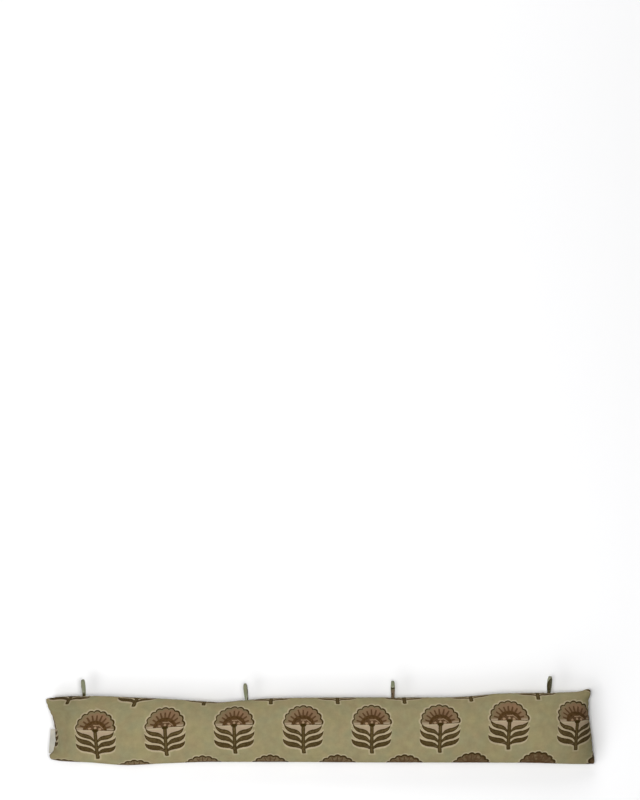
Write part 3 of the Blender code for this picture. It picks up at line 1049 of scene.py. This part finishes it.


# Painted shade at the ends, where the cloth slopes down away from the lamps: from where, over how
# far, and how much at most
EndShade = namedtuple("EndShade", "start run share")
LEFT_END_SHADE = EndShade(-0.385, 0.035, 0.17)
RIGHT_END_SHADE = EndShade(0.405, 0.040, 0.10)


def painted_end_shade(tree, cloth):
    """The share of the colour that the painted shade at the ends leaves."""
    along = places_on(tree, cloth)[0]
    left = ((LEFT_END_SHADE.start - along) / LEFT_END_SHADE.run).held() * LEFT_END_SHADE.share
    right = ((along - RIGHT_END_SHADE.start) / RIGHT_END_SHADE.run).held() * RIGHT_END_SHADE.share
    return 1.0 - left - right


def woven_cloth(name, roughness, sheen, thread_pitch, relief, relief_depth):
    """A matt woven material, with its map of the cloth, the painted shade between its threads, and
    its colour to be given.
    """
    material = bpy.data.materials.new(name)
    material.use_nodes = True
    tree = material.node_tree
    shader = tree.nodes["Principled BSDF"]
    shader.inputs["Roughness"].default_value = roughness
    shader.inputs["Specular IOR Level"].default_value = 0.04
    shader.inputs["Sheen Weight"].default_value = sheen
    shader.inputs["Sheen Roughness"].default_value = 0.6
    cloth_map = tree.nodes.new("ShaderNodeUVMap")
    cloth_map.uv_map = "Cloth"
    cloth = cloth_map.outputs["UV"]
    weave = tree.nodes.new("ShaderNodeGroup")
    weave.node_tree = plain_weave
    weave.inputs["Thread pitch"].default_value = thread_pitch
    tree.links.new(cloth, weave.inputs["Cloth"])
    bump = tree.nodes.new("ShaderNodeBump")
    bump.inputs["Strength"].default_value = relief
    bump.inputs["Distance"].default_value = relief_depth
    tree.links.new(weave.outputs["Height"], bump.inputs["Height"])
    tree.links.new(bump.outputs["Normal"], shader.inputs["Normal"])
    return material, cloth, Reading(tree, weave.outputs["Shade"]), shader.inputs["Base Color"]


def printed_cotton(name, tint):
    """The printed cloth, matt and slightly fuzzy."""
    made = woven_cloth(name, 0.95, 0.01, THREAD_PITCH, 0.45, 0.00022)
    material, cloth, thread, shown = made
    tree = material.node_tree
    noisy = partial(rough_noise, tree, cloth)
    block = tree.nodes.new("ShaderNodeGroup")
    block.node_tree = flower_block
    tree.links.new(cloth, block.inputs["Cloth"])

    def mask(output):
        return Reading(tree, block.outputs[output])

    clouds = noisy(26.0, detail=3.0) * 2.6 + 0.35
    warm = noisy(41.0) * 2.4 + 0.25
    blotched = (noisy(280.0, detail=3.0, roughness=0.6) * 3.4 + 0.42).held()
    colour = over(tree, clouds.held(), GROUND_KHAKI, GROUND_GREEN)
    colour = over(tree, warm.held(), colour, GROUND_BROWN)
    for output, strength, ink in (
        ("Bare", 1.0, over(tree, mask("Inner"), BARE_RIM, BARE_CLOTH)),
        ("Petal", 0.94, over(tree, mask("Rose"), PETAL_KHAKI, PETAL_ROSE)),
        ("Stroke", 0.92, STROKE_BROWN),
        ("Heart", 1.0, HEART_BROWN),
        ("Arch", 1.0, over(tree, blotched, ARCH_RED, ARCH_BROWN)),
        ("Bead", 1.0, BEAD_CREAM),
        ("Leaf", 0.96, over(tree, blotched, LEAF_BROWN, LINE_BROWN)),
        ("Line", 0.97, LINE_BROWN),
    ):
        colour = over(tree, mask(output) * strength, colour, ink)
    ink_grain = noisy(700.0, detail=3.0, roughness=0.7) * 0.10
    uneven = noisy(75.0, detail=3.0, roughness=0.6) * 0.40 + noisy(17.0) * 0.16
    # Painted shade darkens the colour towards both ends.
    # The thread reading is painted shade in the gaps between threads.
    shade = (thread * 0.14 + 0.86 + ink_grain + uneven) * painted_end_shade(tree, cloth)
    tree.links.new(darkened(tree, colour, shade, tint), shown)
    return material


flower_block = make_flower_block()
plain_weave = make_plain_weave()
body_cotton = printed_cotton("Printed cotton", (1.0, 1.0, 1.0))
cover = new_piece("cover", cover_mesh, body_cotton, "cover_filled")


# Hanging loops
# Each is a strip of the same cotton, folded in four to a narrow tape, sewn down its open edge and
# bent double. Both its ends are caught in the long seam.

TAPE_THICKNESS = 0.0015
LOOP_REACH = 0.0270
EYE_WIDTH = 0.0070
LEG_PARTING = 0.0004
SEWN_GAP = 0.0003
SEWN_IN = 0.0018  # how far a leg reaches into the seam
BEND_NARROWING = 0.34
LEG_STEPS = 30
BEND_STEPS = 18
FOOT_NARROWING = 0.20
TAPE_WAVE = 0.00016

# The tape's section: places across, as shares of half its width, and heights, as shares of its
# thickness. It starts in the groove of the open edge and goes over the top, round the folded
# edge and back underneath.
TOP_SHARES = (1.0, 0.94, 0.72, 0.45, 0.15, -0.15, -0.45, -0.72, -0.94)
TAPE_SECTION = (
    [(0.90, 0.03), (1.00, 0.14), (1.02, 0.30)]
    + [(across, 0.50 - 0.07 * across**4) for across in TOP_SHARES]
    + [(-1.03, 0.30), (-1.07, 0.0), (-1.03, -0.30)]
    + [(across, 0.07 * across**4 - 0.50) for across in reversed(TOP_SHARES)]
    + [(1.02, -0.30), (1.00, -0.14), (0.90, -0.03)]
)

# Which part of the print each strip was cut from: the place of its foot and the way it runs
CutFrom = namedtuple("CutFrom", "along across turn")
CUT_FROM = {
    "loop_1": CutFrom(0.0000, -0.0307, math.radians(-25)),
    "loop_2": CutFrom(-0.0527, 0.0200, math.radians(5)),
    "loop_3": CutFrom(-0.0185, 0.0148, math.radians(6)),
    "loop_4": CutFrom(-0.0338, -0.0119, math.radians(75)),
}

STITCH_SPACING = 0.0024
STITCH_LENGTH = 0.0018
STITCH_RADIUS = 0.00017
STITCH_FLATTER = 1.3  # so much wider than high
STITCH_SIDES = 6
# Along a stitch, as shares of its length: how thick it is there, as a share of its radius
STITCH_RINGS = ((0.0, 0.35), (0.2, 0.9), (0.5, 1.0), (0.8, 0.9), (1.0, 0.35))
STITCH_FROM_MIDDLE = 0.66  # share of half the tape's width
STITCH_LINES = ((0.5, 1.4), (-0.5, 1.9))  # on its upper and lower face, from so many stitches on
THREAD_PLACE = (-0.0160, -0.0040)  # a bare spot of the print, the colour of the thread
TAPE_TINT = (0.70, 0.85, 0.98)  # the tapes are greyer than the cover
TOP_MIDDLE = 3 + len(TOP_SHARES) // 2  # the place in the section at the middle of the top
SLANTED_FOOT = 0.008  # how far up a foot is slanted to follow the seam
TAPE_CORNERS = ((0, 0), (1, 0), (1, 1), (0, 1))


def loop_line():
    """The middle of the bent tape, from one foot round the bend to the other, as (y, z)."""
    foot = (LEG_PARTING + TAPE_THICKNESS) / 2
    bend = (EYE_WIDTH + TAPE_THICKNESS) / 2
    centre = LOOP_REACH - TAPE_THICKNESS / 2 - bend
    out = np.linspace(-SEWN_IN, centre, LEG_STEPS, endpoint=False)
    leg = np.stack([out, foot + (bend - foot) * ease(out / centre)], axis=-1)
    angle = np.linspace(0, math.pi, BEND_STEPS + 1)
    turn = np.stack([centre + bend * np.sin(angle), bend * np.cos(angle)], axis=-1)
    return np.concatenate([leg, turn, leg[::-1] * (1, -1)])


def tape_places(loop, line, section):
    """The points of a tape laid along a line, as (x, y, z) before the loop is set in its place."""
    ahead = unit(np.gradient(line, axis=0))
    outward = np.stack([-ahead[:, 1], ahead[:, 0]], axis=-1)
    share = np.linspace(0, 1, len(line))
    near_bend = np.exp(-(((share - 0.5) / 0.075) ** 2))
    near_foot = np.maximum(0.0, 1 - 4 * np.minimum(share, 1 - share))
    width = 1 - FOOT_NARROWING * near_foot - BEND_NARROWING * near_bend
    seed = loop.along * 50
    wave = rough(share * 9, seed, 0) * TAPE_WAVE
    twist = rough(share * 4, seed, 5) * 3 * TAPE_WAVE
    middle_x = loop.sidestep * np.sin(2 * math.pi * share) + wave * 2
    across, height = np.array(section).T
    x = middle_x[:, None] + across * (width * loop.width / 2)[:, None]
    push = height * TAPE_THICKNESS + wave[:, None] + across * twist[:, None]
    run_in = line[:, None] + outward[:, None] * push[..., None]
    return np.concatenate([x[..., None], run_in], axis=-1)


def stitches_on(places, line, start):
    """A line of small rounded stitches, the first one at the start, as points and faces."""
    from_foot = run_between(line, 0)
    stitch_points = []
    stitch_faces = []
    angles = np.linspace(0, 2 * math.pi, STITCH_SIDES, endpoint=False)
    ring = [(math.cos(a), math.sin(a)) for a in angles]
    for middle in np.arange(start, from_foot[-1] - STITCH_SPACING, STITCH_SPACING):
        tips = (middle - 0.5 * STITCH_LENGTH, middle + 0.5 * STITCH_LENGTH)
        back, front = [Vector([np.interp(t, from_foot, run) for run in places.T]) for t in tips]
        run = front - back
        level = Vector((1, 0, 0)).cross(run).normalized()
        first = len(stitch_points)
        for share, size in STITCH_RINGS:
            for c, d in ring:
                wide = Vector((STITCH_RADIUS * size * c * STITCH_FLATTER, 0, 0))
                spot = back + run * share + wide
                stitch_points.append(spot + level * (STITCH_RADIUS * size * d))
        for a in range(first, len(stitch_points) - STITCH_SIDES, STITCH_SIDES):
            b = a + STITCH_SIDES
            for i in range(STITCH_SIDES):
                j = (i + 1) % STITCH_SIDES
                stitch_faces.append((a + i, a + j, b + j, b + i))
        stitch_faces.append(tuple(first + i for i in reversed(range(STITCH_SIDES))))
        stitch_faces.append(tuple(range(len(stitch_points) - STITCH_SIDES, len(stitch_points))))
    return stitch_points, stitch_faces


def make_hanging_loop(loop, material):
    line = loop_line()
    places = tape_places(loop, line, TAPE_SECTION)
    run = 0.01
    seam_slope = (seam_edge(loop.along + run) - seam_edge(loop.along - run)) / (2 * run)
    slant = np.maximum(0.0, 1 - places[..., 1] / SLANTED_FOOT)
    places[..., 1] += places[..., 0] * np.tan(np.arctan(seam_slope) - loop.lean) * slant
    steps, around = places.shape[:2]

    # Its place on the cloth that it was cut from
    from_foot = run_between(places, 0).mean(axis=1)[:, None]
    from_groove = run_between(places, 1)
    across = from_groove[:, TOP_MIDDLE : TOP_MIDDLE + 1] - from_groove
    cut = CUT_FROM[loop.name]
    cut_along = cut.along + across * math.cos(cut.turn) - from_foot * math.sin(cut.turn)
    cut_across = cut.across + across * math.sin(cut.turn) + from_foot * math.cos(cut.turn)
    cut_places = np.stack([cut_along, cut_across], axis=-1)

    # The sides, closed at the groove, and the two cut ends
    index = np.arange(steps * around).reshape(steps, around)
    closed = [*range(around), 0]
    faces = cells(index[:, closed], TAPE_CORNERS).reshape(-1, 4).tolist()
    faces += [index[0].tolist(), index[-1, ::-1].tolist()]
    cloth = cells(cut_places[:, closed], TAPE_CORNERS)
    cloth[:, -1] = THREAD_PLACE
    cloth = cloth.reshape(-1, 2).tolist() + [THREAD_PLACE] * (2 * around)

    tape_points = places.reshape(-1, 3).tolist()
    for height, start in STITCH_LINES:
        stitch_line = tape_places(loop, line, [(STITCH_FROM_MIDDLE, height)])[:, 0]
        made_points, made_faces = stitches_on(stitch_line, line, start * STITCH_SPACING)
        first = len(tape_points)
        tape_points += [tuple(point) for point in made_points]
        faces += [[first + n for n in face] for face in made_faces]
        cloth += [THREAD_PLACE] * sum(len(face) for face in made_faces)
    tape_mesh = new_mesh(loop.name, tape_points, faces, cloth)
    piece = new_piece("hanging_" + loop.name, tape_mesh, material, loop.name)
    lift = float(seam_lift(loop.along / (LENGTH / 2)))
    piece.location = (loop.along, float(seam_edge(loop.along)) + SEWN_GAP, lift)
    piece.rotation_euler.z = loop.lean


tape_cotton = printed_cotton("Tape cotton", TAPE_TINT)
for hanging_loop in HANGING_LOOPS:
    make_hanging_loop(hanging_loop, tape_cotton)


# End label
# A strip of bare cream tape, folded in half, both its cut edges caught in the left end seam. It
# stands out a little, its fold on the outer side.

LABEL_LOW = -0.0375
LABEL_HIGH = 0.0018
LABEL_REACH = 0.0070  # from the end seam to the fold, at the high end
LABEL_SLANT = 0.085
LABEL_LAYER = 0.00045
LABEL_PARTING = 0.0009
LABEL_SEWN_IN = 0.0020
LABEL_COLUMNS = 72
LABEL_STEPS = 12
LABEL_FOLD_STEPS = 8
LABEL_CURL = 0.0012
LABEL_RIPPLE = 0.00045
LABEL_CREAM = (0.480, 0.455, 0.385)
LABEL_SOILED = (0.330, 0.325, 0.290)
LABEL_THREAD_PITCH = 0.00055


def end_seam_at(y):
    """How far out the left end seam is, at a place across the cover."""
    across = np.linspace(-1, 1, 400)
    seam_x, seam_y = plan_place(np.full(400, -1.0), across)
    return np.interp(y, seam_y, seam_x)


def make_label(material):
    turn = (LABEL_PARTING + LABEL_LAYER) / 2
    out = np.linspace(0, 1, LABEL_STEPS, endpoint=False)
    angle = np.linspace(0, math.pi, LABEL_FOLD_STEPS + 1)
    share = np.concatenate([out, np.ones(LABEL_FOLD_STEPS + 1), out[::-1]])
    past = np.concatenate([0 * out, turn * np.sin(angle), 0 * out])
    height = np.concatenate([turn + 0 * out, turn * np.cos(angle), -turn + 0 * out])
    y = np.linspace(LABEL_LOW, LABEL_HIGH, LABEL_COLUMNS + 1)[:, None]
    seam_x = end_seam_at(y) + LABEL_SEWN_IN
    fold_x = end_seam_at(LABEL_HIGH) - LABEL_REACH + turn - LABEL_SLANT * (LABEL_HIGH - y)
    x = seam_x + (fold_x - seam_x) * share - past
    middle = (LABEL_LOW + LABEL_HIGH) / 2
    from_middle = (y - middle) / (LABEL_HIGH - middle)
    lifted = LABEL_CURL * share * (0.5 * from_middle**2 - 0.6 * from_middle)
    z = END_LIFT + height + lifted + rough(share * 2.2, y * 90, 3) * LABEL_RIPPLE * share
    surface = np.stack([x, np.broadcast_to(y, x.shape), z], axis=-1)
    outward = facing(surface)
    columns, steps = x.shape
    outer = surface + outward * LABEL_LAYER / 2
    inner = surface - outward * LABEL_LAYER / 2
    label_points = np.concatenate([outer.reshape(-1, 3), inner.reshape(-1, 3)])
    index = np.arange(columns * steps).reshape(columns, steps)
    count = columns * steps
    outer_faces = cells(index, TAPE_CORNERS).reshape(-1, 4)
    faces = np.stack([outer_faces, outer_faces[:, ::-1] + count], axis=1).reshape(-1, 4)
    edge = np.concatenate([index[0, :-1], index[:-1, -1], index[-1, :0:-1], index[:0:-1, 0]])
    onward = np.roll(edge, -1)
    edge_faces = np.stack([edge, onward, onward + count, edge + count], axis=-1)
    faces = np.concatenate([faces, edge_faces])
    along_tape = run_between(surface, 1)
    across_tape = np.broadcast_to(y, along_tape.shape)
    tape_place = np.stack([across_tape, along_tape], axis=-1).reshape(-1, 2)
    cloth = tape_place[faces.ravel() % count]
    label_mesh = new_mesh("End label", label_points.tolist(), faces.tolist(), cloth)
    return new_piece("label", label_mesh, material, "end_label")


def cream_tape():
    """Bare woven tape, a little soiled in places."""
    made = woven_cloth("Cream tape", 0.8, 0.03, LABEL_THREAD_PITCH, 0.5, 0.00012)
    material, cloth, thread, shown = made
    tree = material.node_tree
    soil = rough_noise(tree, cloth, 55.0, detail=3.0) * 2.2 + 0.35
    colour = over(tree, soil.held(), LABEL_CREAM, LABEL_SOILED)
    # Painted shade in the gaps between threads
    tree.links.new(darkened(tree, colour, thread * 0.14 + 0.90), shown)
    return material


label = make_label(cream_tape())
